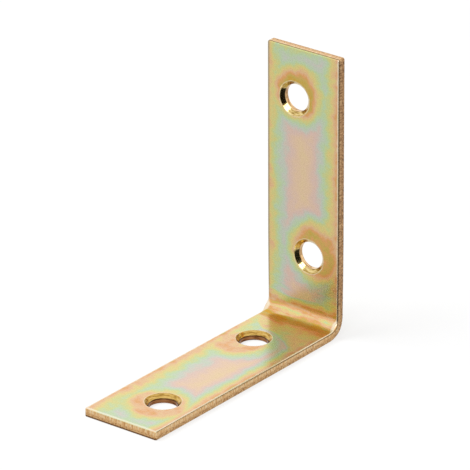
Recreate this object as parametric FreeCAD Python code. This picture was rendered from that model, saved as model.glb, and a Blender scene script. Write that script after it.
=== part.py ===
"""Angle bracket: one strip of sheet steel, punched with four countersunk screw holes and folded once.

The level leg lies on Z = 0 and runs towards -Y, and the upright leg stands at the back, along +Z.
X runs across the strip. The origin is the middle of the footprint, on the base. All sizes are in mm.
"""
import FreeCAD, Part
import math
import os

Vector = FreeCAD.Vector

# The strip and its fold
upright_length = 50.0
level_length = 50.0
strip_width = 14.8
sheet_thickness = 1.5
fold_inner_radius = 2.2

# The screw holes. On each leg one is measured from the outer corner and one from the free end.
hole_diameter = 4.8
countersink_diameter = 6.1
countersink_angle = 90.0
upright_corner_to_hole = 13.2
upright_end_to_hole = 9.1
level_corner_to_hole = 12.5
level_end_to_hole = 9.6

# Neighbouring holes stand to either side of their row, and the row lies a little off the strip's middle.
hole_stagger = 1.5
row_offset = -0.3

# How the edges are left by the shear, the punch and the fold
end_corner_radius = 0.35
rolled_edge = 0.18
broken_edge = 0.08
countersink_lip = 0.12
swell_height = 0.1
swell_length = 3.2

# Where things lie
corner_y = level_length / 2
base_z = 0.0
half_width = strip_width / 2
fold_outer_radius = fold_inner_radius + sheet_thickness
fold_centre = Vector(0, corner_y - fold_outer_radius, base_z + fold_outer_radius)
inner_upright_y = corner_y - sheet_thickness
inner_level_z = base_z + sheet_thickness

upright_holes = [
    (row_offset - hole_stagger, upright_length - upright_end_to_hole),
    (row_offset + hole_stagger, upright_corner_to_hole),
]
level_holes = [
    (row_offset - hole_stagger, level_corner_to_hole),
    (row_offset + hole_stagger, level_length - level_end_to_hole),
]
touching = 1e-4


def arc_of_fold(radius, x):
    """The quarter circle of the fold at this radius, from the upright down to the level leg."""
    middle = Vector(0, math.sin(math.pi / 4), -math.cos(math.pi / 4)) * radius
    start = fold_centre + Vector(x, radius, 0)
    end = fold_centre + Vector(x, 0, -radius)
    return Part.Arc(start, fold_centre + Vector(x, 0, 0) + middle, end).toShape()


def folded_section(x):
    """The strip's section, seen from the side: two straight legs and a true round fold between them."""
    top_z = base_z + upright_length
    end_y = corner_y - level_length
    outer = arc_of_fold(fold_outer_radius, x)
    inner = arc_of_fold(fold_inner_radius, x)
    top_outer = Vector(x, corner_y, top_z)
    top_inner = Vector(x, inner_upright_y, top_z)
    end_outer = Vector(x, end_y, base_z)
    end_inner = Vector(x, end_y, inner_level_z)
    edges = [
        Part.makeLine(top_outer, outer.firstVertex().Point),
        outer,
        Part.makeLine(outer.lastVertex().Point, end_outer),
        Part.makeLine(end_outer, end_inner),
        Part.makeLine(end_inner, inner.lastVertex().Point),
        inner,
        Part.makeLine(inner.firstVertex().Point, top_inner),
        Part.makeLine(top_inner, top_outer),
    ]
    return Part.Face(Part.Wire(Part.__sortEdges__(edges)))


def folded_strip(width):
    """The bare strip, folded, with sharp edges."""
    return folded_section(-width / 2).extrude(Vector(width, 0, 0))


def round_end_corners(strip):
    """Round the four corners of the free ends, seen square on to each leg."""
    top_z = base_z + upright_length
    end_y = corner_y - level_length
    corners = []
    for edge in strip.Edges:
        middle = edge.CenterOfMass
        at_side = abs(abs(middle.x) - half_width) < touching
        through_top = abs(middle.z - top_z) < touching
        through_end = abs(middle.y - end_y) < touching
        if at_side and (through_top or through_end):
            corners.append(edge)
    return strip.makeFillet(end_corner_radius, corners)


def is_inner_skin(face):
    """Whether a face lies on the side of the sheet that the fold closes on."""
    middle = face.CenterOfMass
    if isinstance(face.Surface, Part.Cylinder):
        return abs(face.Surface.Radius - fold_inner_radius) < touching
    on_upright = abs(middle.y - inner_upright_y) < touching
    on_level = abs(middle.z - inner_level_z) < touching
    return on_upright or on_level


def is_outer_skin(face):
    """Whether a face lies on the side of the sheet that meets the timber."""
    middle = face.CenterOfMass
    if isinstance(face.Surface, Part.Cylinder):
        return abs(face.Surface.Radius - fold_outer_radius) < touching
    on_upright = abs(middle.y - corner_y) < touching
    on_level = abs(middle.z - base_z) < touching
    return on_upright or on_level


def outline_of(strip, belongs):
    """The outline of one skin: the edges that only one of its faces has."""
    skin = [edge for face in strip.Faces if belongs(face) for edge in face.Edges]
    return [edge for edge in skin if sum(edge.isSame(other) for other in skin) == 1]


def ease_outlines(strip):
    """Bevel the edge that the shear rolls over on the inner skin, and break the one on the outer skin."""
    rolled = strip.makeChamfer(rolled_edge, outline_of(strip, is_inner_skin))
    return rolled.makeChamfer(broken_edge, outline_of(rolled, is_outer_skin))


def screw_hole(mouth, inward):
    """The space of one countersunk hole, from its mouth on the inner skin through the sheet."""
    hole_radius = hole_diameter / 2
    mouth_radius = countersink_diameter / 2
    cone_depth = (mouth_radius - hole_radius) / math.tan(math.radians(countersink_angle / 2))
    clear = sheet_thickness
    shaft = Part.makeCylinder(hole_radius, sheet_thickness + 2 * clear, mouth - inward * clear, inward)
    cone = Part.makeCone(mouth_radius, hole_radius, cone_depth, mouth, inward)
    return shaft.fuse(cone)


def punch_holes(strip):
    """Cut the two holes of each leg, each countersunk from the inner skin."""
    for x, height in upright_holes:
        mouth = Vector(x, inner_upright_y, base_z + height)
        strip = strip.cut(screw_hole(mouth, Vector(0, 1, 0)))
    for x, reach in level_holes:
        mouth = Vector(x, corner_y - reach, inner_level_z)
        strip = strip.cut(screw_hole(mouth, Vector(0, 0, -1)))
    return strip


def ease_lips(strip):
    """Bevel the lip of each countersink, where the cone meets the inner skin."""
    lips = []
    for edge in strip.Edges:
        round_edge = isinstance(edge.Curve, Part.Circle) and edge.isClosed()
        if round_edge and abs(edge.Curve.Radius - countersink_diameter / 2) < touching:
            lips.append(edge)
    return strip.makeChamfer(countersink_lip, lips)


def side_slab(side):
    """The space along one side edge of the strip, as deep as the sheet is thick, past the swell."""
    depth = sheet_thickness + swell_height
    low_x = min(side * (half_width + swell_height), side * (half_width - sheet_thickness))
    start = Vector(low_x, corner_y - level_length, base_z)
    return Part.makeBox(depth, level_length, upright_length, start)


def fold_swells():
    """The metal that the fold squeezes out sideways at its inner half: a shallow cap on each side edge."""
    reach = swell_length / 2
    ball_radius = (reach ** 2 + swell_height ** 2) / (2 * swell_height)
    bite = Vector(0, math.sin(math.pi / 4), -math.cos(math.pi / 4)) * fold_inner_radius
    envelope = folded_strip(strip_width + 2 * swell_height)
    swells = []
    for side in (-1, 1):
        sunk = half_width + swell_height - ball_radius
        ball = Part.makeSphere(ball_radius, fold_centre + bite + Vector(side * sunk, 0, 0))
        swells.append(envelope.common(ball).common(side_slab(side)))
    return swells


def make_bracket():
    """The whole bracket, as one solid."""
    strip = round_end_corners(folded_strip(strip_width))
    strip = ease_outlines(strip)
    strip = ease_lips(punch_holes(strip))
    return strip.fuse(fold_swells()).removeSplitter().Solids[0]


os.makedirs("parts", exist_ok=True)
bracket = make_bracket()
bracket.exportStep("parts/angle_bracket.step")
print("angle bracket: %d solid, valid %s, %.1f mm3" % (len(bracket.Solids), bracket.isValid(), bracket.Volume))
print("box", bracket.optimalBoundingBox(), "faces", len(bracket.Faces))
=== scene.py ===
# %% [markdown]
# A folded angle bracket, plated and passivated yellow
#
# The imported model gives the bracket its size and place. This lesson dresses it: a strip of sheet steel,
# sheared, punched and folded, whose thin passive film shows bands of colour like oil on water. Every length
# is in metres. X runs across the strip, the level leg runs towards -Y and the upright leg stands along +Z.

# %% Load the frame and keep its box
import math

import bmesh
import bpy
from mathutils import Matrix, Quaternion, Vector


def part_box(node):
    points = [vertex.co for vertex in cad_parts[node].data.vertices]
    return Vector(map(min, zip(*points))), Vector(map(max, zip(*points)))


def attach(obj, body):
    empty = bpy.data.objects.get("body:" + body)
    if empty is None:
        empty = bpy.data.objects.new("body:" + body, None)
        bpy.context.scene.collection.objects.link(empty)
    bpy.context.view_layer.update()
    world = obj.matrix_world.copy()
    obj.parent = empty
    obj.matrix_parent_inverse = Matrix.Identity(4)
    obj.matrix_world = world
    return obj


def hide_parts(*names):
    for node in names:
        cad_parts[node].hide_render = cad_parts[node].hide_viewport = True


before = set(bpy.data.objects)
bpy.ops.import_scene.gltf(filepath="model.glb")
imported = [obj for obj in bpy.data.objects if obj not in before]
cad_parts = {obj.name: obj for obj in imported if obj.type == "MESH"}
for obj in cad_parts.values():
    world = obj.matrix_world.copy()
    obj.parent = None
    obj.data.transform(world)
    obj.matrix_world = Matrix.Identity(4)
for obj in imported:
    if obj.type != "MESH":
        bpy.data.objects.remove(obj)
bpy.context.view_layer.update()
MM = 0.001
low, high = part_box("angle_bracket")
print("box of the packed bracket in mm:", [round(v / MM, 2) for v in (high - low)])

# %% [markdown]
# The sizes of the strip
#
# The bracket is one strip, so a few sizes say it all. The outer corner, where both outer faces would meet,
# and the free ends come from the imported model. The sheet, the fold and the holes repeat the model's own
# sizes. The strip is narrower than the box, because the fold squeezes metal out sideways and the box is as
# wide as that swell.

# %% Sizes
outer_corner_y = high.y
end_y = low.y
top_z = high.z
sheet = 1.5 * MM
fold_inner = 2.2 * MM
fold_outer = fold_inner + sheet
swell = 0.1 * MM
half_width = high.x - swell
fold_y = outer_corner_y - fold_outer
fold_z = fold_outer
fold_neutral = (fold_inner + fold_outer) / 2
upright_run = top_z - fold_z
level_run = fold_y - end_y
fold_run = fold_neutral * math.pi / 2
strip_run = upright_run + fold_run + level_run
print("flat strip before folding: %.1f x %.1f mm" % (strip_run / MM, 2 * half_width / MM))

# %% [markdown]
# Where a point lay on the flat strip
#
# The plating colours follow the strip and not the room: they were laid on the metal, round the holes and
# along the edges. So each point gets its place on the strip as if it were unrolled: across, into the sheet,
# and along from the upright's free end. A pattern on that place follows the fold, squeezed or stretched
# there only as much as the sheet itself was.

# %% Unroll a point
def unrolled(point):
    """Across the strip, depth below the inner skin, and run along the strip from the upright's free end."""
    x, y, z = point
    if z >= fold_z:
        return Vector((x, y - (outer_corner_y - sheet), top_z - z))
    if y <= fold_y:
        return Vector((x, sheet - z, upright_run + fold_run + fold_y - y))
    angle = math.atan2(fold_z - z, y - fold_y)
    radius = math.hypot(fold_z - z, y - fold_y)
    return Vector((x, radius - fold_inner, upright_run + angle * fold_neutral))


print("the level leg ends at a run of %.1f mm" % (unrolled(Vector((0, end_y, 0))).z / MM))

# %% [markdown]
# Where the holes are
#
# Each leg has two holes, one left of the middle and one right of it, so that its two screws don't stand in
# one line of the wood's grain. A hole's place is the middle of its mouth in the inner skin. It is kept in
# the room, for the cutter, and on the flat strip, for the finishes round it.

# %% Holes
hole_radius = 2.4 * MM
mouth_radius = 3.05 * MM
row_offset = -0.3 * MM
stagger = 1.5 * MM
left_row, right_row = row_offset - stagger, row_offset + stagger
top_hole_from_end = 9.1 * MM
low_hole_height = 13.2 * MM
near_hole_from_corner = 12.5 * MM
far_hole_from_end = 9.6 * MM
upright_holes = [
    Vector((left_row, outer_corner_y - sheet, top_z - top_hole_from_end)),
    Vector((right_row, outer_corner_y - sheet, low_hole_height)),
]
level_holes = [
    Vector((left_row, outer_corner_y - near_hole_from_corner, sheet)),
    Vector((right_row, end_y + far_hole_from_end, sheet)),
]
flat_holes = [unrolled(mouth) for mouth in upright_holes + level_holes]
print("holes along the flat strip in mm:", [round(h.z / MM, 1) for h in flat_holes])

# %% [markdown]
# The camera first
#
# The photograph looks down at the bracket from the front right, from far away with a long lens, so the edges
# stay almost parallel. The aim point, direction and distance are set here, and the lens follows from how
# large the bracket stands in a square picture.

# %% Camera
view_azimuth = math.radians(38.04)
view_elevation = math.radians(24.14)
view_roll = math.radians(-0.24)
view_distance = 0.852
view_aim = Vector((-5.7 * MM, 12.5 * MM, 19.2 * MM))
lens_mm = 395.0
sensor_mm = 36


def look_back(azimuth, elevation):
    """The direction from the aim point to the camera."""
    flat = math.cos(elevation)
    return Vector((math.sin(azimuth) * flat, -math.cos(azimuth) * flat, math.sin(elevation)))


back = look_back(view_azimuth, view_elevation)
right = Vector((math.cos(view_azimuth), math.sin(view_azimuth), 0))
up = back.cross(right)
level_right = right * math.cos(view_roll) + up * math.sin(view_roll)
level_up = back.cross(level_right)
camera_data = bpy.data.cameras.new("camera")
camera_data.lens = lens_mm
camera_data.sensor_width = sensor_mm
camera_data.clip_end = 10
camera = bpy.data.objects.new("camera", camera_data)
bpy.context.scene.collection.objects.link(camera)
turn = Matrix((level_right, level_up, back)).transposed().to_4x4()
camera.matrix_world = Matrix.Translation(view_aim + back * view_distance) @ turn
bpy.context.scene.camera = camera
bpy.context.scene.view_settings.view_transform = "Standard"
print("camera at", [round(v, 3) for v in camera.location])

# %% [markdown]
# Tools of the bench
#
# Edit mode works on what is selected, and a new primitive comes selected all over. These helpers start from
# nothing selected and then pick vertices, edges or faces by where they are, which is what a hand would click.

# %% Selecting helpers
near = 1e-6


def only(piece):
    """Leave edit mode if it is on, and make this the one selected and active object."""
    if bpy.context.object and bpy.context.object.mode == "EDIT":
        bpy.ops.object.mode_set(mode="OBJECT")
    bpy.ops.object.select_all(action="DESELECT")
    piece.select_set(True)
    bpy.context.view_layer.objects.active = piece


def pick(piece, mode, test):
    """In edit mode, select just the vertices, edges or faces that pass the test, and count them."""
    bpy.ops.mesh.select_mode(type=mode)
    bpy.ops.mesh.select_all(action="DESELECT")
    mesh = bmesh.from_edit_mesh(piece.data)
    mesh.normal_update()
    items = {"VERT": mesh.verts, "EDGE": mesh.edges, "FACE": mesh.faces}[mode]
    found = [item for item in items if test(item)]
    for item in found:
        item.select_set(True)
    mesh.select_flush_mode()
    bmesh.update_edit_mesh(piece.data)
    return len(found)


def apply(piece, name):
    """Apply one modifier by name."""
    only(piece)
    bpy.ops.object.modifier_apply(modifier=name)


def open_edges(piece):
    """How many edges don't have exactly two faces. A closed solid has none."""
    mesh = bmesh.new()
    mesh.from_mesh(piece.data)
    count = sum(len(edge.link_faces) != 2 for edge in mesh.edges)
    mesh.free()
    return count


print("points less than %.3f mm apart count as one" % (near / MM))

# %% [markdown]
# The strip: sheared, then folded
#
# The real bracket starts as a bar of sheet that a shear cuts to width and length. Here its section is a plane
# at the top of the upright, drawn down as far as the fold, spun a quarter turn about the fold's centre, and
# drawn out along the level leg. Spinning gives the true round fold, where bending a finished bar would
# stretch its holes. The short sides are cut into rows first, so that the side edges can swell later.

# %% Draw a section out
def draw_out(direction, lengths):
    """Extrude the selected section along a direction, one ring after another."""
    done = 0.0
    for length in lengths:
        step = Vector(direction) * (length - done)
        bpy.ops.mesh.extrude_region_move(TRANSFORM_OT_translate={"value": step})
        done = length


neck_rings = [4.9 * MM, 6.4 * MM, 8.2 * MM, 10.4 * MM, 13.0 * MM, 16.2 * MM, 20.0 * MM]
rings_down = [top_z - h for h in reversed(neck_rings)] + [top_z - fold_z]
rings_out = [h - fold_outer for h in neck_rings] + [level_run]
print("rings: %d down the upright, %d along the level leg" % (len(rings_down), len(rings_out)))

# %% Draw the section and sweep it
rows_through_sheet = 6
fold_steps = 20
bpy.ops.object.select_all(action="DESELECT")
bpy.ops.mesh.primitive_plane_add(size=1, location=(0, outer_corner_y - sheet / 2, top_z))
bracket = bpy.context.object
bracket.name = "plated_bracket"
bpy.ops.object.mode_set(mode="EDIT")
bpy.ops.transform.resize(value=(2 * half_width, sheet, 1))
bpy.ops.object.mode_set(mode="OBJECT")
bpy.ops.object.transform_apply(location=True, rotation=True, scale=True)
bpy.ops.object.mode_set(mode="EDIT")
pick(bracket, "EDGE", lambda e: abs(e.verts[0].co.x - e.verts[1].co.x) < near)
bpy.ops.mesh.subdivide(number_cuts=rows_through_sheet - 1)
bpy.ops.mesh.select_all(action="SELECT")
draw_out((0, 0, -1), rings_down)
bpy.ops.mesh.spin(steps=fold_steps, angle=math.pi / 2, center=(0, fold_y, fold_z), axis=(1, 0, 0))
draw_out((0, -1, 0), rings_out)
bpy.ops.mesh.select_all(action="SELECT")
bpy.ops.mesh.remove_doubles(threshold=near)
bpy.ops.mesh.normals_make_consistent(inside=False)
bpy.ops.object.mode_set(mode="OBJECT")
corners = [[pick_end(v.co[i] for v in bracket.data.vertices) for i in range(3)] for pick_end in (min, max)]
print("swept strip in mm:", [[round(v / MM, 2) for v in corner] for corner in corners])
print("faces %d, open edges %d" % (len(bracket.data.polygons), open_edges(bracket)))

# %% [markdown]
# Corners and edges
#
# A shear doesn't leave sharp corners: the plan corners of the free ends are rounded, the inner skin's outline
# is rolled over by the blade, and the outer skin's outline keeps a small break. The three roundings have
# different radii, so each set of edges is picked and bevelled by itself, the corners first.

# %% Find the corners and outlines
corner_round = 0.35 * MM
rolled_edge = 0.26 * MM
broken_edge = 0.07 * MM
sharp_turn = math.radians(60)


def at_free_end(vertex):
    """Whether a vertex is on the end face of a leg."""
    return abs(vertex.co.z - top_z) < near or abs(vertex.co.y - end_y) < near


def through_corner(edge):
    """Whether an edge runs through the sheet at a corner of a free end."""
    a, b = edge.verts
    at_side = abs(abs(a.co.x) - half_width) < near and abs(abs(b.co.x) - half_width) < near
    through = (b.co - a.co).length < 0.9 * sheet and at_free_end(a) and at_free_end(b)
    same_run = abs(unrolled(a.co).z - unrolled(b.co).z) < near
    return at_side and through and same_run


def outline_at(depth):
    """A test for the sharp edges of the skin at this depth in the sheet."""
    def test(edge):
        on_skin = all(abs(unrolled(v.co).y - depth) < near for v in edge.verts)
        return on_skin and len(edge.link_faces) == 2 and edge.calc_face_angle() > sharp_turn
    return test


print("roundings in mm:", [round(r / MM, 2) for r in (corner_round, rolled_edge, broken_edge)])

# %% Round the corners and edges
roundings = [
    (through_corner, corner_round, 6),
    (outline_at(0.0), rolled_edge, 5),
    (outline_at(sheet), broken_edge, 2),
]
only(bracket)
bpy.ops.object.mode_set(mode="EDIT")
picked = []
for test, radius, segments in roundings:
    picked.append(pick(bracket, "EDGE", test))
    bpy.ops.mesh.bevel(offset=radius, segments=segments, affect="EDGES", clamp_overlap=True)
bpy.ops.object.mode_set(mode="OBJECT")
print("corner edges %d, rolled edges %d, broken edges %d" % tuple(picked))

# %% [markdown]
# What folding does to the side edges
#
# Sheet that is bent over a tool is squeezed on the inside of the fold and stretched on the outside. The
# squeezed half swells out past the side edges as a small knuckle, and the stretched half and the metal beside
# the fold draw in a little. The whole strip is already swept, so this is a push of its vertices across the
# strip, strongest at the edges and nothing at the middle.

# %% Swell and draw in the fold
swell_reach = 1.25 * MM
swell_falloff = 1.5
neck_depth = 0.13 * MM
neck_reach = 9.0 * MM
edge_bias = 4
fold_middle = upright_run + fold_run / 2


def push_out(place):
    """How far a side edge moves outwards at this place on the flat strip."""
    from_fold = abs(place.z - fold_middle)
    deep = min(max((place.y - rolled_edge) / (sheet - rolled_edge), 0.0), 1.0)
    in_fold = math.exp(-(from_fold / swell_reach) ** 2)
    knuckle = swell * in_fold * (1 - deep) ** swell_falloff
    drawn = neck_depth * math.exp(-(from_fold / neck_reach) ** 2) * (1 - in_fold)
    return knuckle - drawn


for vertex in bracket.data.vertices:
    place = unrolled(vertex.co)
    share = abs(place.x) / half_width
    side = math.copysign(1, place.x)
    vertex.co.x += side * push_out(place) * share ** edge_bias
width = max(v.co.x for v in bracket.data.vertices) - min(v.co.x for v in bracket.data.vertices)
print("width over the swell: %.2f mm" % (width / MM))

# %% [markdown]
# The countersunk holes
#
# Each hole is punched, then opened to a right-angled countersink for a flat screw head. The lip where the
# cone meets the skin is worn round. A cutter is easiest to shape as a turned profile: half of the section of
# the space is drawn as a wire, spun about the hole's axis, and taken away with a Boolean modifier.

# %% The cutter's profile
lip_radius = 0.25 * MM
lip_start, lip_turn, lip_steps = 135, 40, 5
foot_radius = 0.06 * MM
lip_flare = 0.2 * MM
lip_clearance = 0.05 * MM


def cutter_profile():
    """Radius and height of a hole's space, from below the sheet up past the mouth. The skin is at 0."""
    points = [(hole_radius + foot_radius, -2 * sheet), (hole_radius + foot_radius, -sheet)]
    points.append((hole_radius, -sheet + foot_radius))
    points.append((hole_radius, -(mouth_radius - hole_radius)))
    lip_centre = Vector((mouth_radius + lip_radius * math.tan(math.pi / 8), -lip_radius))
    for step in range(lip_steps + 1):
        angle = math.radians(lip_start - lip_turn * step / lip_steps)
        points.append((lip_centre.x + lip_radius * math.cos(angle),
                       lip_centre.y + lip_radius * math.sin(angle)))
    points.append((points[-1][0] + lip_flare, lip_clearance))
    points.append((points[-1][0], 2 * sheet))
    return points


print("profile of the cutter: %d points" % len(cutter_profile()))

# %% Turn a cutter and punch the four holes
turn_steps = 96


def turned_cutter(name):
    """A solid turned about Z from the profile, with its mouth at the origin."""
    profile = cutter_profile()
    bpy.ops.object.select_all(action="DESELECT")
    bpy.ops.mesh.primitive_circle_add(vertices=len(profile) + 2, radius=sheet)
    cutter = bpy.context.object
    cutter.name = name
    axis_ends = [(0.0, profile[-1][1]), (0.0, profile[0][1])]
    for vertex, (radius, height) in zip(cutter.data.vertices, profile + axis_ends):
        vertex.co = (radius, 0, height)
    bpy.ops.object.mode_set(mode="EDIT")
    bpy.ops.mesh.select_all(action="SELECT")
    bpy.ops.mesh.spin(steps=turn_steps, angle=2 * math.pi, center=(0, 0, 0), axis=(0, 0, 1))
    bpy.ops.mesh.select_all(action="SELECT")
    bpy.ops.mesh.remove_doubles(threshold=near)
    bpy.ops.mesh.normals_make_consistent(inside=False)
    bpy.ops.object.mode_set(mode="OBJECT")
    return cutter


def punch(mouth, tilt):
    """Cut one hole with its mouth here. tilt turns the cutter's axis about X, from +Z."""
    cutter = turned_cutter("hole_cutter")
    cutter.matrix_world = Matrix.Translation(mouth) @ Matrix.Rotation(tilt, 4, "X")
    bpy.context.view_layer.update()
    cut = bracket.modifiers.new("hole", "BOOLEAN")
    cut.operation = "DIFFERENCE"
    cut.solver = "EXACT"
    cut.object = cutter
    apply(bracket, "hole")
    bpy.data.objects.remove(cutter)


for mouth in upright_holes:
    punch(mouth, math.pi / 2)
for mouth in level_holes:
    punch(mouth, 0.0)
only(bracket)
bpy.ops.object.mode_set(mode="EDIT")
bpy.ops.mesh.select_all(action="SELECT")
bpy.ops.mesh.dissolve_degenerate(threshold=near)
bpy.ops.object.mode_set(mode="OBJECT")
print("faces with the holes cut: %d, open edges %d" % (len(bracket.data.polygons), open_edges(bracket)))

# %% [markdown]
# Shading the sheet
#
# Skins are flat and edges are round. Smooth shading alone would bend the light across the whole skin, because
# a vertex on the outline takes the mean of its faces. Weighted normals let the large flat faces win. From
# face to face of the fold, a rolled edge, a corner or a lip, the surface turns by less than 20 degrees. At
# the foot of a countersink and on the small break of the outer outline it turns by more and stays sharp.

# %% Smooth the roundings and keep the flats flat
only(bracket)
bpy.ops.object.shade_smooth_by_angle(angle=math.radians(20))
weighted = bracket.modifiers.new("flat_skins", "WEIGHTED_NORMAL")
weighted.keep_sharp = True
weighted.weight = 100
apply(bracket, "flat_skins")
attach(bracket, "root")
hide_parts("angle_bracket")
print("triangles:", sum(len(face.vertices) - 2 for face in bracket.data.polygons))

# %% [markdown]
# The place on the strip, kept with the mesh
#
# The finishes below all follow the strip: bands along its edges, rings round its holes, streaks through its
# cut edges. Each vertex gets its unrolled place in millimetres, which is linear on the flats and follows the
# fold, so the shader can read it anywhere on the surface.

# %% Store the place on the strip
flat_place = bracket.data.attributes.new("flat_place", "FLOAT_VECTOR", "POINT")
for vertex, stored in zip(bracket.data.vertices, flat_place.data):
    stored.vector = unrolled(vertex.co) / MM
print("places stored:", len(flat_place.data))

# %% [markdown]
# Node helpers
#
# A material is a small graph. These helpers add a node and join it in one line, so that the cells below read
# like the sums that they are.

# %% Add a node and feed it
def linear(colour):
    """Turn a colour as the eye reads it off a screen into the linear light that a shader works in."""
    return tuple(c / 12.92 if c < 0.04045 else ((c + 0.055) / 1.055) ** 2.4 for c in colour) + (1.0,)


def feed(tree, socket, value):
    """Join a socket to another node's output, or set it to a plain value."""
    if isinstance(value, bpy.types.NodeSocket):
        tree.links.new(value, socket)
    else:
        socket.default_value = value


def add(tree, kind, settings=None, **inputs):
    """Add a node with its settings and its named inputs."""
    made = tree.nodes.new(kind)
    for name, value in (settings or {}).items():
        setattr(made, name, value)
    for name, value in inputs.items():
        feed(tree, made.inputs[name.replace("_", " ")], value)
    return made


def sum_of(tree, operation, *values):
    """A Math node with its inputs in order."""
    made = add(tree, "ShaderNodeMath", {"operation": operation})
    for socket, value in zip(made.inputs, values):
        feed(tree, socket, value)
    return made.outputs[0]


def vector_of(tree, operation, *values):
    """A Vector Math node with its inputs in order. A distance comes out as a plain number."""
    made = add(tree, "ShaderNodeVectorMath", {"operation": operation})
    for socket, value in zip(made.inputs, values):
        feed(tree, socket, value)
    return made.outputs["Value" if operation == "DISTANCE" else "Vector"]


print("a mid grey on the screen is %.3f in linear light" % linear((0.5, 0.5, 0.5))[0])

# %% Shares and colours
STRAIGHT, SOFT = "LINEAR", "SMOOTHSTEP"


def share_between(tree, value, start, end, way=SOFT):
    """A share that goes from 0 where the value is start to 1 where it is end, straight or with soft ends."""
    made = add(tree, "ShaderNodeMapRange", {"interpolation_type": way}, Value=value, From_Min=start,
               From_Max=end)
    return made.outputs[0]


def ramp(tree, value, stops):
    """A colour ramp through these (place, colour) stops."""
    made = add(tree, "ShaderNodeValToRGB", Fac=value)
    elements = made.color_ramp.elements
    while len(elements) < len(stops):
        elements.new(0.5)
    for element, (place, colour) in zip(elements, stops):
        element.position = place
        element.color = linear(colour)
    return made.outputs["Color"]


def three_tones(tree, value, spread, dark, middle, bright):
    """A ramp for noise, whose values lie round a half, through a dark, a middle and a bright tone."""
    return ramp(tree, value, [(0.5 - spread, dark), (0.5, middle), (0.5 + spread, bright)])


def blend_colours(tree, share, first, second, how="MIX"):
    """Mix two colours by a share from 0 to 1."""
    made = add(tree, "ShaderNodeMix", {"data_type": "RGBA", "blend_type": how})
    for name, value in (("Factor_Float", share), ("A_Color", first), ("B_Color", second)):
        socket = next(s for s in made.inputs if s.identifier == name)
        feed(tree, socket, value)
    return next(s for s in made.outputs if s.identifier == "Result_Color")


print("shares are %s or %s" % (STRAIGHT, SOFT))

# %% Groups
def new_group(name, inputs, outputs):
    """An empty shader node group. inputs and outputs are (name, socket type) pairs."""
    group = bpy.data.node_groups.new(name, "ShaderNodeTree")
    for in_out, sockets in (("INPUT", inputs), ("OUTPUT", outputs)):
        for socket_name, kind in sockets:
            group.interface.new_socket(name=socket_name, in_out=in_out, socket_type="NodeSocket" + kind)
    entry = group.nodes.new("NodeGroupInput")
    leave = group.nodes.new("NodeGroupOutput")
    return group, entry.outputs, leave.inputs


def use_group(tree, group, **inputs):
    """Place a node group in a tree."""
    made = tree.nodes.new("ShaderNodeGroup")
    made.node_tree = group
    for name, value in inputs.items():
        feed(tree, made.inputs[name.replace("_", " ")], value)
    return made.outputs


print("node groups so far:", len(bpy.data.node_groups))

# %% [markdown]
# How thick the passive film is
#
# Yellow passivation leaves a film a fraction of a micrometre thick, and its hue runs through an order as it
# thickens. Bath and drainage make it thinnest round the holes and along the edges, so the hues lie in rings
# and bands there, and the middle of each leg is the thickest. The order starts at 0, and 1.4 is the thickest.
# It is worked out in one node group, which grows over the next cells. It takes the place on the strip, and
# first lets it drift by slow noise, so that no band or ring comes out ruler straight or round.

# %% Start the film order's group
thickest = 1.4
drift_size = 1.8
film_order, given, result = new_group("film order", [("Place", "Vector")], [("Order", "Float")])
drift = add(film_order, "ShaderNodeTexNoise", Vector=given["Place"], Scale=0.11, Detail=1.0)
drift_way = vector_of(film_order, "SUBTRACT", drift.outputs["Color"], (0.5, 0.5, 0.5))
drift_step = vector_of(film_order, "MULTIPLY", drift_way, (drift_size, drift_size, drift_size))
drifted = vector_of(film_order, "ADD", given["Place"], drift_step)
axes = add(film_order, "ShaderNodeSeparateXYZ", Vector=drifted)
across, along = axes.outputs["X"], axes.outputs["Z"]
print("places drift by up to %.1f mm" % (drift_size / 2))

# %% [markdown]
# Slopes from the edges, the holes and the ends
#
# Each side edge, hole and free end makes the order rise with the distance from it. A side edge has one start
# and rate on the upright and another on the level leg. The rings stand a little off their holes, and inside
# a ring the order stops falling at a least value, which colours the rim of the hole.

# %% Edge, ring and end slopes
# the side, its start and rise per mm on the upright, and the same on the level leg
side_systems = [(1, 0.17, 0.13, 0.10, 0.22), (-1, 0.26, 0.12, 0.17, 0.10)]
# run and place across of the rings' centre, radius of the rose ring, and the least order inside
ring_systems = [
    (7.9, -1.3, 4.05, 0.08),
    (35.7, 2.7, 4.2, 0.14),
    (62.7, -2.6, 3.5, 0.24),
    (89.2, 1.2, 4.3, 0.25),
]
rose_order = 0.25
ring_rise = 0.17
ring_softness = 0.1
upright_end_start, upright_end_rise = 0.46, 0.12
level_end_start, level_end_rise = 0.52, 0.08
half_strip = half_width / MM
strip_end = strip_run / MM
level_from, level_to = 50.0, 60.0
on_level = share_between(film_order, along, level_from, level_to)


def side_slope(side, start, rise, level_start, level_rise):
    """Order from one side edge inwards: a start and a rise per mm, for the upright and for the level leg."""
    inwards = sum_of(film_order, "MULTIPLY_ADD", across, -side, half_strip)
    first = sum_of(film_order, "MULTIPLY_ADD", on_level, level_start - start, start)
    slope = sum_of(film_order, "MULTIPLY_ADD", on_level, level_rise - rise, rise)
    return sum_of(film_order, "MULTIPLY_ADD", inwards, slope, first)


def ring_slope(run, middle, radius, least):
    """Order outwards from the middle of the rings, never under the least."""
    flat = add(film_order, "ShaderNodeCombineXYZ", X=across, Z=along)
    to_centre = vector_of(film_order, "DISTANCE", flat.outputs[0], (middle, 0.0, run))
    rise = sum_of(film_order, "MULTIPLY_ADD", to_centre, ring_rise, rose_order - radius * ring_rise)
    return sum_of(film_order, "SMOOTH_MAX", rise, least, ring_softness)


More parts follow.
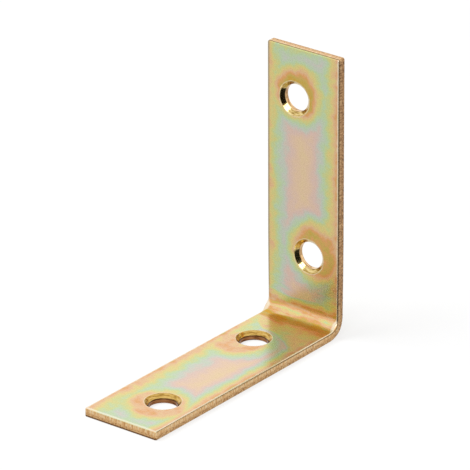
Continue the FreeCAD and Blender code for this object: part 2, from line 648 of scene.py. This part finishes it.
slopes = [side_slope(*system) for system in side_systems]
slopes += [ring_slope(*system) for system in ring_systems]
slopes.append(sum_of(film_order, "MULTIPLY_ADD", along, upright_end_rise, upright_end_start))
to_end = sum_of(film_order, "SUBTRACT", strip_end, along)
slopes.append(sum_of(film_order, "MULTIPLY_ADD", to_end, level_end_rise, level_end_start))
print("slopes from edges, holes and ends:", len(slopes))

# %% [markdown]
# Bands across the fold, film and painted reflection
#
# The film also changes in bands that lie across the fold, and no slope gives those. Part of them is painted
# reflection: the pale band by the crease and the dark line after it. They are drawn as a curve of order over
# run, and its points are close together where the bands are narrow. Past the fold the bands end sooner at the
# left and later at the right, following the mirrored upright's edges as painted reflection, so the run is
# shifted there before the curve reads it.

# %% Fold bands
# the bands as run and order; the pale band up to 48.9 and the drop at 49.5 are painted reflection of the
# crease
fold_film_and_reflection_bands = [
    (42.0, 1.4), (44.2, 1.25), (44.9, 0.62), (45.3, 0.42), (45.8, 0.33), (46.4, 0.21),
    (47.0, 0.19), (48.0, 0.26), (48.9, 0.27), (49.5, 0.05), (50.8, 0.03), (51.8, 0.12),
    (52.4, 0.26), (53.2, 0.35), (55.6, 0.38), (56.4, 0.75), (57.2, 1.3), (58.0, 1.4),
]
# the side, where across it starts, the shift along for each mm across, and the runs over which it sets in; a
# painted reflection
mirrored_edge_lags = [(-1.0, 3.0, 0.9, 51.0, 53.0), (1.0, -1.0, -0.6, 52.5, 60.0)]
fold_from, fold_to = fold_film_and_reflection_bands[0][0], fold_film_and_reflection_bands[-1][0]
# painted reflection: past the fold the run shifts along the mirrored upright's edges
lagged = along
for side, start, lag, lag_from, lag_to in mirrored_edge_lags:
    beyond = sum_of(film_order, "MAXIMUM", sum_of(film_order, "MULTIPLY_ADD", across, side, -start), 0.0)
    past_fold = share_between(film_order, along, lag_from, lag_to, STRAIGHT)
    shift = sum_of(film_order, "MULTIPLY", beyond, lag)
    lagged = sum_of(film_order, "MULTIPLY_ADD", shift, past_fold, lagged)
fold_share = share_between(film_order, lagged, fold_from, fold_to, STRAIGHT)
fold_curve = add(film_order, "ShaderNodeFloatCurve", Value=fold_share)
curve = fold_curve.mapping.curves[0]
while len(curve.points) < len(fold_film_and_reflection_bands):
    curve.points.new(0.5, 0.5)
for point, (run, order) in zip(curve.points, fold_film_and_reflection_bands):
    point.location = ((run - fold_from) / (fold_to - fold_from), order / thickest)
    point.handle_type = "AUTO_CLAMPED"
fold_curve.mapping.update()
slopes.append(sum_of(film_order, "MULTIPLY", fold_curve.outputs[0], thickest))
print("the fold's curve has %d points" % len(curve.points))

# %% [markdown]
# The smallest order wins
#
# Where two slopes meet, the smaller one wins, and a smooth minimum rounds the line where they cross. Noise
# then makes the film uneven, with stretched creases on top where folding worked the metal.

# %% Finish the film order's group
blend_width = 0.08
mottle_share, crease_share = 0.55, 0.8
crease_stretch = (0.3, 1.0, 1.5)
unworked_from, worked_within = 10.0, 2.5
least_slope = thickest
for slope in slopes:
    least_slope = sum_of(film_order, "SMOOTH_MIN", least_slope, slope, blend_width)
from_fold = sum_of(film_order, "ABSOLUTE", sum_of(film_order, "SUBTRACT", along, fold_middle / MM))
worked = share_between(film_order, from_fold, unworked_from, worked_within)
uneven = add(film_order, "ShaderNodeTexNoise", Vector=given["Place"], Scale=0.45, Detail=5.0, Roughness=0.6)
mottled = sum_of(film_order, "SUBTRACT", uneven.outputs["Fac"], 0.5)
mottled = sum_of(film_order, "MULTIPLY", mottled, mottle_share)
bent = vector_of(film_order, "MULTIPLY", given["Place"], crease_stretch)
creased = add(film_order, "ShaderNodeTexNoise", Vector=bent, Scale=0.7, Detail=4.0)
creases = sum_of(film_order, "SUBTRACT", creased.outputs["Fac"], 0.5)
creases = sum_of(film_order, "MULTIPLY", creases, worked)
mottled = sum_of(film_order, "MULTIPLY_ADD", creases, crease_share, mottled)
feed(film_order, result["Order"], sum_of(film_order, "ADD", least_slope, mottled))
print("film order from %d slopes" % len(slopes))

# %% [markdown]
# The film's hues
#
# These are the hues that a yellow chromate film takes as it thickens, on bright zinc: gold, olive, rose,
# straw, green, sea green, a pale grey green, rose again and then a pale tan. They are pastel, because the
# metal under the film mirrors most of the light.

# %% Film hue as a node group
film_hues = [
    (0.00, (0.88, 0.68, 0.27)),
    (0.09, (0.84, 0.74, 0.40)),
    (0.18, (0.94, 0.70, 0.46)),
    (0.26, (0.95, 0.78, 0.61)),
    (0.36, (0.94, 0.86, 0.57)),
    (0.44, (0.87, 0.88, 0.60)),
    (0.54, (0.80, 0.89, 0.72)),
    (0.66, (0.83, 0.86, 0.80)),
    (0.80, (0.92, 0.81, 0.76)),
    (1.00, (0.95, 0.83, 0.71)),
    (1.25, (0.95, 0.85, 0.67)),
]
film_hue, given, result = new_group("film hue", [("Order", "Float")], [("Color", "Color")])
order_share = sum_of(film_hue, "DIVIDE", given["Order"], thickest)
stops = [(order / thickest, hue) for order, hue in film_hues]
feed(film_hue, result["Color"], ramp(film_hue, order_share, stops))
print("film hues:", len(film_hues))

# %% [markdown]
# Grain
#
# Rolled sheet is never quite smooth: fine pits and ridges lie on it, and the plating follows them. The same
# grain, finer or coarser, marks the skins, the cut edges and the hole walls, so it is one group with its
# spacing and stretch as inputs.

# %% Grain as a node group
grain, given, result = new_group("grain", [("Place", "Vector"), ("Stretch", "Vector"), ("Per mm", "Float")],
                                 [("Height", "Float")])
stretched = vector_of(grain, "MULTIPLY", given["Place"], given["Stretch"])
pits = add(grain, "ShaderNodeTexNoise", Vector=stretched, Scale=given["Per mm"], Detail=4.0, Roughness=0.65)
feed(grain, result["Height"], pits.outputs["Fac"])


def grain_at(tree, place, per_mm, stretch=(1, 1, 1)):
    """The grain's height, with about this many pits per mm."""
    return use_group(tree, grain, Place=place, Stretch=stretch, Per_mm=per_mm)["Height"]


print("grain has %d nodes" % len(grain.nodes))

# %% [markdown]
# Painted edge highlights
#
# The side edges, the level leg's end and the lips of the countersinks get a painted highlight, a thin broken
# cream line that stands in for the light their roundings catch. The mask starts from the distance on the
# strip to the nearest of those edges. The lips are in the inner skin, so depth counts as distance from them.

# %% How far the nearest edge is
lip_inset = 0.1 * MM
lip_steepness, lip_gap = 1.3, 0.06
highlight_inputs = [("Place", "Vector"), ("Width", "Float"), ("Broken", "Float")]
edge_highlight, given, result = new_group("edge highlight", highlight_inputs, [("Highlight", "Float")])
axes = add(edge_highlight, "ShaderNodeSeparateXYZ", Vector=given["Place"])
to_side = sum_of(edge_highlight, "SUBTRACT", half_strip, sum_of(edge_highlight, "ABSOLUTE", axes.outputs["X"]))
to_end = sum_of(edge_highlight, "SUBTRACT", strip_end, axes.outputs["Z"])
to_edge = sum_of(edge_highlight, "MINIMUM", to_side, to_end)
on_plan = add(edge_highlight, "ShaderNodeCombineXYZ", X=axes.outputs["X"], Z=axes.outputs["Z"])
for hole in flat_holes:
    to_hole = vector_of(edge_highlight, "DISTANCE", on_plan.outputs[0], (hole.x / MM, 0.0, hole.z / MM))
    off_lip = sum_of(edge_highlight, "SUBTRACT", to_hole, (mouth_radius - lip_inset) / MM)
    off_lip = sum_of(edge_highlight, "ABSOLUTE", off_lip)
    to_lip = sum_of(edge_highlight, "MULTIPLY_ADD", off_lip, lip_steepness, lip_gap)
    to_edge = sum_of(edge_highlight, "MINIMUM", to_edge, sum_of(edge_highlight, "ADD", to_lip, axes.outputs["Y"]))
print("edge distances to %d lips, the sides and the level leg's end" % len(flat_holes))

# %% [markdown]
# How wide the painted highlight is
#
# The painted highlight is wider along the level leg's end, and widest at the knuckles of the fold, which
# stand out most. Noise moves it in and out, so that it breaks up, and a hair of film stays on the very edge.

# %% Painted edge highlight as a node group
knuckle_extra, level_end_extra = 1.3, 0.3
knuckle_end, knuckle_top = 1.9, 0.2
film_left, film_gone = 0.05, 0.12
off_fold =sum_of(edge_highlight, "ABSOLUTE", sum_of(edge_highlight, "SUBTRACT", axes.outputs["Z"], fold_middle / MM))
knuckle = share_between(edge_highlight, off_fold, knuckle_end, knuckle_top)
at_level_end = share_between(edge_highlight, to_end, 1.2, 0.9, STRAIGHT)
widened = sum_of(edge_highlight, "MULTIPLY_ADD", at_level_end, level_end_extra, 1.0)
widened = sum_of(edge_highlight, "MULTIPLY_ADD", knuckle, knuckle_extra, widened)
highlight_width = sum_of(edge_highlight, "MULTIPLY", widened, given["Width"])
highlight_noise = add(edge_highlight, "ShaderNodeTexNoise", Vector=given["Place"], Scale=1.1, Detail=3.0)
highlight_shift = sum_of(edge_highlight, "SUBTRACT", highlight_noise.outputs["Fac"], 0.5)
highlight_shift = sum_of(edge_highlight, "MULTIPLY", highlight_shift, given["Broken"])
beyond = sum_of(edge_highlight, "DIVIDE", sum_of(edge_highlight, "ADD", to_edge, highlight_shift), highlight_width)
within = share_between(edge_highlight, beyond, 1.3, 0.7)
off_edge = share_between(edge_highlight, to_edge, film_left, film_gone)
# the share of the painted highlight along the edges, lips and knuckles
feed(edge_highlight, result["Highlight"], sum_of(edge_highlight, "MULTIPLY", within, off_edge))
print("edge highlight has %d nodes" % len(edge_highlight.nodes))

# %% [markdown]
# Three finishes on one metal
#
# The skins, the sheared sides and ends, and the walls of the holes look different, but they are one metal
# under one plating. So all three start and end alike: a metallic shader that mirrors about three quarters of
# the light, tinted by the film, with a shallow bump.

# %% What the finishes share
zinc_reflectance = 0.77
# the cream of the painted edge highlights
highlight_cream = linear((0.99, 0.96, 0.87))


def start_material(name):
    """A material with a metallic Principled shader, and the stored place with its three parts."""
    material = bpy.data.materials.new(name)
    material.use_nodes = True
    tree = material.node_tree
    shader = tree.nodes["Principled BSDF"]
    shader.inputs["Metallic"].default_value = 1.0
    place = add(tree, "ShaderNodeAttribute", {"attribute_name": "flat_place"}).outputs["Vector"]
    axes = add(tree, "ShaderNodeSeparateXYZ", Vector=place)
    return material, tree, shader, place, axes.outputs


def finish_surface(tree, shader, colour, roughness, height, depth):
    """Feed the colour on bright zinc, the roughness and a bump this many millimetres deep."""
    zinc = (zinc_reflectance, zinc_reflectance, zinc_reflectance, 1.0)
    feed(tree, shader.inputs["Base Color"], blend_colours(tree, 1.0, colour, zinc, "MULTIPLY"))
    feed(tree, shader.inputs["Roughness"], roughness)
    bump = add(tree, "ShaderNodeBump", Height=height, Distance=depth * MM, Strength=1.0)
    feed(tree, shader.inputs["Normal"], bump.outputs["Normal"])


def highlight_share(tree, place, width, broken):
    """The painted highlight's share round the edges, for a line this wide and this broken, in mm."""
    return use_group(tree, edge_highlight, Place=place, Width=width, Broken=broken)["Highlight"]


print("bright zinc mirrors %.0f%% of the light" % (100 * zinc_reflectance))

# %% [markdown]
# The plated skins
#
# The skins carry the full film and painted edge highlights. A painted dark reflection runs down the upright's
# left edge.

# %% Plated skin
left_edge_dark_reflection = linear((0.62, 0.56, 0.42))


def plated_skin():
    """The film over the sheet's two skins."""
    material, tree, shader, place, axes = start_material("plated skin")
    order = use_group(tree, film_order, Place=place)["Order"]
    hue = use_group(tree, film_hue, Order=order)["Color"]
    fine = grain_at(tree, place, 3.5)
    shade = ramp(tree, fine, [(0.3, (0.95, 0.94, 0.93)), (0.7, (1.0, 1.0, 1.0))])
    filmed = blend_colours(tree, 1.0, hue, shade, "MULTIPLY")
    # painted highlight along the edges, the knuckles and the level leg's end
    highlit = highlight_share(tree, place, 0.34, 0.35)
    colour = blend_colours(tree, sum_of(tree, "MULTIPLY", highlit, 0.7), filmed, highlight_cream)
    # painted reflection: a dark line down the upright's left edge
    from_left = sum_of(tree, "ADD", axes["X"], half_strip)
    at_left = share_between(tree, from_left, 0.52, 0.34)
    on_upright = share_between(tree, axes["Z"], 47.0, 44.0, STRAIGHT)
    left_edge_dark_share = sum_of(tree, "MULTIPLY", sum_of(tree, "MULTIPLY", at_left, on_upright), 0.75)
    colour = blend_colours(tree, left_edge_dark_share, colour, left_edge_dark_reflection)
    roughness = sum_of(tree, "MULTIPLY_ADD", fine, 0.14, 0.19)
    finish_surface(tree, shader, colour, roughness, fine, 0.003)
    return material


bracket.data.materials.append(plated_skin())
print("finish:", bracket.data.materials[0].name)

# %% [markdown]
# The sheared sides and ends
#
# The cut faces are duller and browner than the skins: a burnished part and a torn part behind it, all
# streaked through the sheet. A painted dark line, standing in for a reflection, runs just past the rolled
# edge.
# The upright's sides get painted shaded copies of the tones and the rest get lit copies. The dark line fades
# along the level leg, and on that leg's end a painted contact shadow runs along the foot instead.

# %% Sheared edge
# lit and painted shaded copies of the cut faces' tones
shaded_burnish = [0.16, (0.50, 0.36, 0.23), (0.77, 0.59, 0.41), (0.92, 0.78, 0.58)]
shaded_torn = [0.14, (0.38, 0.27, 0.17), (0.71, 0.53, 0.35), (0.88, 0.71, 0.51)]
lit_burnish = [0.18, (0.80, 0.59, 0.37), (0.96, 0.79, 0.56), (1.0, 0.93, 0.78)]
lit_torn = [0.16, (0.56, 0.39, 0.23), (0.86, 0.67, 0.45), (0.98, 0.85, 0.64)]
reflected_dark_brown = linear((0.40, 0.32, 0.20))
contact_shadow_brown = linear((0.38, 0.23, 0.12))


def cut_tones(tree, streaks, torn, shaded):
    """The burnished and the torn colours, lit copies where shaded is 0 and painted shaded copies where it is
    1.
    """
    burnished = [three_tones(tree, streaks, *tones) for tones in (lit_burnish, shaded_burnish)]
    fractured = [three_tones(tree, torn, *tones) for tones in (lit_torn, shaded_torn)]
    return blend_colours(tree, shaded, *burnished), blend_colours(tree, shaded, *fractured)


def sheared_edge():
    """The cut sides and ends of the strip."""
    material, tree, shader, place, axes = start_material("sheared edge")
    depth, run = axes["Y"], axes["Z"]
    off_middle = sum_of(tree, "ABSOLUTE", axes["X"])
    on_side = share_between(tree, off_middle, half_strip - 0.35, half_strip - 0.15, STRAIGHT)
    on_upright = share_between(tree, run, 50.0, 44.0, STRAIGHT)
    on_level_end = share_between(tree, run, strip_end - 0.35, strip_end - 0.15, STRAIGHT)
    streaks = grain_at(tree, place, 3.5, (1, 0.18, 1))
    torn = grain_at(tree, place, 4.0)
    # lit copies on the ends and the level leg's sides, painted shaded copies on the upright's sides
    burnished, fractured = cut_tones(tree, streaks, torn, sum_of(tree, "MULTIPLY", on_side, on_upright))
    behind = share_between(tree, sum_of(tree, "MULTIPLY_ADD", streaks, 0.8, depth), 0.85, 1.45)
    colour = blend_colours(tree, behind, burnished, fractured)
    # painted reflection: a dark line just past the rolled edge, fading along the level leg
    reflected_dark_line = share_between(tree, sum_of(tree, "MULTIPLY_ADD", torn, 0.12, depth), 0.46, 0.28)
    reflected_dark_share = add(tree, "ShaderNodeMapRange", Value=run, From_Min=85.0, From_Max=55.0, To_Min=0.15,
                     To_Max=0.75).outputs[0]
    colour = blend_colours(tree, sum_of(tree, "MULTIPLY", reflected_dark_line, reflected_dark_share), colour, reflected_dark_brown)
    # painted contact shadow along the foot of the level leg's end
    contact_shadow = share_between(tree, sum_of(tree, "MULTIPLY_ADD", torn, 0.2, depth), 1.22, 1.38)
    contact_shadow_share = sum_of(tree, "MULTIPLY", sum_of(tree, "MULTIPLY", contact_shadow, on_level_end), 0.85)
    colour = blend_colours(tree, contact_shadow_share, colour, contact_shadow_brown)
    roughness = sum_of(tree, "MULTIPLY_ADD", behind, 0.14, 0.26)
    height = sum_of(tree, "ADD", streaks, sum_of(tree, "MULTIPLY", torn, behind))
    finish_surface(tree, shader, colour, roughness, height, 0.03)
    return material


bracket.data.materials.append(sheared_edge())
print("finish:", bracket.data.materials[1].name)

# %% [markdown]
# The punched walls
#
# The cones and the straight lands below them are glossier and gold, with marks of the punch round them. The
# lip gets a painted highlight. On the level leg the cones are tinted, the lands carry a painted shade, and a
# painted shade line runs at the foot of the cone.

# %% Punched wall
cone_tones = [0.16, (0.62, 0.49, 0.24), (0.88, 0.77, 0.50), (0.97, 0.89, 0.66)]
land_tones = [0.15, (0.50, 0.34, 0.19), (0.90, 0.72, 0.50), (0.98, 0.86, 0.66)]
level_cone_tint = linear((0.93, 0.86, 0.71))
level_land_shade = linear((0.72, 0.60, 0.54))
foot_shade_brown = linear((0.26, 0.14, 0.06))
cone_foot = (mouth_radius - hole_radius) / MM


def punched_wall():
    """The cone and the straight land of each hole."""
    material, tree, shader, place, axes = start_material("punched wall")
    depth = axes["Y"]
    on_level = share_between(tree, axes["Z"], 46.0, 50.0, STRAIGHT)
    marks = grain_at(tree, place, 1.6, (0.5, 3.0, 0.5))
    cone = three_tones(tree, marks, *cone_tones)
    cone = blend_colours(tree, on_level, cone, level_cone_tint, "MULTIPLY")
    land = three_tones(tree, marks, *land_tones)
    # painted shade on the lands of the level leg's holes
    land = blend_colours(tree, on_level, land, level_land_shade, "MULTIPLY")
    on_land = share_between(tree, depth, cone_foot - 0.05, cone_foot + 0.05, STRAIGHT)
    colour = blend_colours(tree, on_land, cone, land)
    # painted shade: a dark line at the foot of the level leg's cones
    off_foot = sum_of(tree, "ABSOLUTE", sum_of(tree, "SUBTRACT", depth, cone_foot + 0.08))
    foot_shade_line = share_between(tree, sum_of(tree, "MULTIPLY_ADD", marks, 0.3, off_foot), 0.36, 0.16)
    foot_shade_share = sum_of(tree, "MULTIPLY", sum_of(tree, "MULTIPLY", foot_shade_line, on_level), 0.85)
    colour = blend_colours(tree, foot_shade_share, colour, foot_shade_brown)
    # painted highlight round the lip
    by_skin = share_between(tree, depth, 0.22, 0.05, STRAIGHT)
    lip = sum_of(tree, "MULTIPLY", highlight_share(tree, place, 0.12, 0.15), by_skin)
    colour = blend_colours(tree, sum_of(tree, "MULTIPLY", lip, 0.8), colour, highlight_cream)
    roughness = sum_of(tree, "MULTIPLY_ADD", marks, 0.1, 0.08)
    finish_surface(tree, shader, colour, roughness, marks, 0.0008)
    return material


bracket.data.materials.append(punched_wall())
print("finishes:", [m.name for m in bracket.data.materials])

# %% [markdown]
# Which face gets which finish
#
# A face belongs to a hole if it stands within the mouth and doesn't lie flat in the skin, and to a cut side
# or end if it faces that way more than it faces out of the skin.

# %% Give each face its finish
SKIN, SHEARED, PUNCHED = range(3)
mouth_margin = 0.05 * MM
wall_tilt = math.radians(15)
cut_tilt = math.radians(55)


def skin_normal(place):
    """The way the inner skin faces at this place on the strip."""
    angle = min(max((place.z - upright_run) / fold_neutral, 0.0), math.pi / 2)
    return Vector((0, -math.cos(angle), math.sin(angle)))


def finish_of(face):
    """The number of the finish for a face."""
    place = unrolled(face.center)
    lies_flat = abs(face.normal.dot(skin_normal(place)))
    in_hole = any(math.hypot(place.x - h.x, place.z - h.z) < mouth_radius + mouth_margin for h in flat_holes)
    if in_hole and lies_flat < math.cos(wall_tilt):
        return PUNCHED
    return SHEARED if lies_flat < math.cos(cut_tilt) else SKIN


for face in bracket.data.polygons:
    face.material_index = finish_of(face)
finishes = (SKIN, SHEARED, PUNCHED)
counts = [sum(face.material_index == number for face in bracket.data.polygons) for number in finishes]
print("faces with skin, sheared and punched finish:", counts)

# %% [markdown]
# Floor, backdrop and light
#
# The bracket stands on a white sweep. The floor keeps the bracket's soft shadow and is lifted towards white
# for the camera. A part that mirrors like this one shows what stands round it, so the mirrors get white as
# well: the floor a little under white and the room a little over it, and only the camera sees them as plain
# white.

# %% Floor
floor_size = 6
floor_drop = 0.05 * MM
floor_lift = 0.72
floor_glow = 1.03
mirrored_lift = 0.6
mirrored_glow = 0.97
bpy.ops.object.select_all(action="DESELECT")
bpy.ops.mesh.primitive_plane_add(size=floor_size, location=(0, 0, -floor_drop))
floor = bpy.context.object
floor.name = "floor"
sweep = bpy.data.materials.new("white sweep")
sweep.use_nodes = True
tree = sweep.node_tree
paper = tree.nodes["Principled BSDF"]
paper.inputs["Base Color"].default_value = linear((0.96, 0.96, 0.96))
paper.inputs["Roughness"].default_value = 0.9
paper.inputs["Specular IOR Level"].default_value = 0.0
path = add(tree, "ShaderNodeLightPath")
mirrored = path.outputs["Is Glossy Ray"]
strength = sum_of(tree, "MULTIPLY_ADD", mirrored, mirrored_glow - floor_glow, floor_glow)
glow = add(tree, "ShaderNodeEmission", Color=(1, 1, 1, 1), Strength=strength)
seen_lift = sum_of(tree, "MULTIPLY", path.outputs["Is Camera Ray"], floor_lift)
lift = sum_of(tree, "MULTIPLY_ADD", mirrored, mirrored_lift, seen_lift)
mixed = add(tree, "ShaderNodeMixShader", Fac=lift)
tree.links.new(paper.outputs[0], mixed.inputs[1])
tree.links.new(glow.outputs[0], mixed.inputs[2])
tree.links.new(mixed.outputs[0], tree.nodes["Material Output"].inputs["Surface"])
floor.data.materials.append(sweep)
print("floor %.0f m wide, %.2f mm under the bracket" % (floor_size, floor_drop / MM))

# %% World
world_light = 0.5
mirrored_world = 1.3
world = bpy.data.worlds.new("studio")
bpy.context.scene.world = world
world.use_nodes = True
tree = world.node_tree
path = add(tree, "ShaderNodeLightPath")
seen = sum_of(tree, "MAXIMUM", path.outputs["Is Camera Ray"], path.outputs["Is Transmission Ray"])
plain = sum_of(tree, "MULTIPLY_ADD", seen, 1.0 - world_light, world_light)
glossy = path.outputs["Is Glossy Ray"]
strength = sum_of(tree, "MULTIPLY_ADD", glossy, mirrored_world - world_light, plain)
background = tree.nodes["Background"]
background.inputs["Color"].default_value = (1, 1, 1, 1)
feed(tree, background.inputs["Strength"], strength)
print("the world lights at %.1f and is mirrored at %.1f" % (world_light, mirrored_world))

# %% [markdown]
# Two lamps
#
# A large soft lamp from the upper left gives the bracket its shadow. The mirrors don't see it, or it would
# burn out the fold. A long slim lamp high at the right front is there for them: the lower left of each
# upright countersink mirrors it and turns white. It is rolled so that it follows the line that those walls
# mirror.

# %% Lamps
lamp_aim = Vector((0, 0, 0.02))


def soft_lamp(name, place, size, roll, watts):
    """A rectangular area lamp that faces the bracket, rolled about its own axis."""
    data = bpy.data.lights.new(name, "AREA")
    data.shape = "RECTANGLE"
    data.size, data.size_y = size
    data.energy = watts
    lamp = bpy.data.objects.new(name, data)
    bpy.context.scene.collection.objects.link(lamp)
    lamp.location = place
    facing = (lamp_aim - Vector(place)).to_track_quat("-Z", "Y")
    lamp.rotation_euler = (facing @ Quaternion((0, 0, 1), roll)).to_euler()
    return lamp


key = soft_lamp("key", (-0.45, -0.25, 0.75), (0.6, 0.6), 0.0, 6.0)
key.visible_glossy = False
spark = soft_lamp("spark", (0.28, -0.59, 0.57), (0.55, 0.2), math.radians(-45), 1.7)
print("lamps:", key.name, spark.name)

# %% [markdown]
# The dark card
#
# A white room alone makes a mirror look flat, so a product photographer stands dark cards round it. One leans
# away at the right front, narrow at its foot and wide at its top, where the left walls of the upright's
# countersinks mirror it. It is a grid, so that its UV stays even from foot to top, fades out at its sides and
# top, and is there for glossy rays alone.

# %% Stand the dark card
card_foot = Vector((12.5, 20, 0.2)) * MM
card_top = Vector((133, -149, 159)) * MM
foot_half_width, top_half_width = 5 * MM, 80 * MM
bpy.ops.object.select_all(action="DESELECT")
bpy.ops.mesh.primitive_grid_add(x_subdivisions=8, y_subdivisions=16, size=1)
card = bpy.context.object
card.name = "dark_card"
sideways = Vector((card_foot.y - card_top.y, card_top.x - card_foot.x, 0)).normalized()
for vertex in card.data.vertices:
    up_card = vertex.co.y + 0.5
    half_there = foot_half_width + (top_half_width - foot_half_width) * up_card
    vertex.co = card_foot.lerp(card_top, up_card) + sideways * (2 * vertex.co.x * half_there)
card.visible_camera = False
card.visible_diffuse = False
card.visible_shadow = False
card.visible_transmission = False
print("dark card %.0f mm long" % ((card_top - card_foot).length / MM))

# %% Shade the dark card
card_light = 0.02
fade = 0.15
shade = bpy.data.materials.new("dark card")
shade.use_nodes = True
tree = shade.node_tree
uv = add(tree, "ShaderNodeSeparateXYZ", Vector=add(tree, "ShaderNodeTexCoord").outputs["UV"])
off_middle = sum_of(tree, "ABSOLUTE", sum_of(tree, "SUBTRACT", uv.outputs["X"], 0.5))
from_side = sum_of(tree, "MULTIPLY_ADD", off_middle, -2.0, 1.0)
from_top = sum_of(tree, "SUBTRACT", 1.0, uv.outputs["Y"])
inside = [share_between(tree, distance, 0.0, fade) for distance in (from_side, from_top)]
mixed = add(tree, "ShaderNodeMixShader", Fac=sum_of(tree, "MULTIPLY", *inside))
clear = add(tree, "ShaderNodeBsdfTransparent")
dark = add(tree, "ShaderNodeEmission", Color=(1, 1, 1, 1), Strength=card_light)
tree.links.new(clear.outputs[0], mixed.inputs[1])
tree.links.new(dark.outputs[0], mixed.inputs[2])
tree.links.new(mixed.outputs[0], tree.nodes["Material Output"].inputs["Surface"])
card.data.materials.append(shade)
print("the card fades out over %.0f%% of its width and length" % (100 * fade))
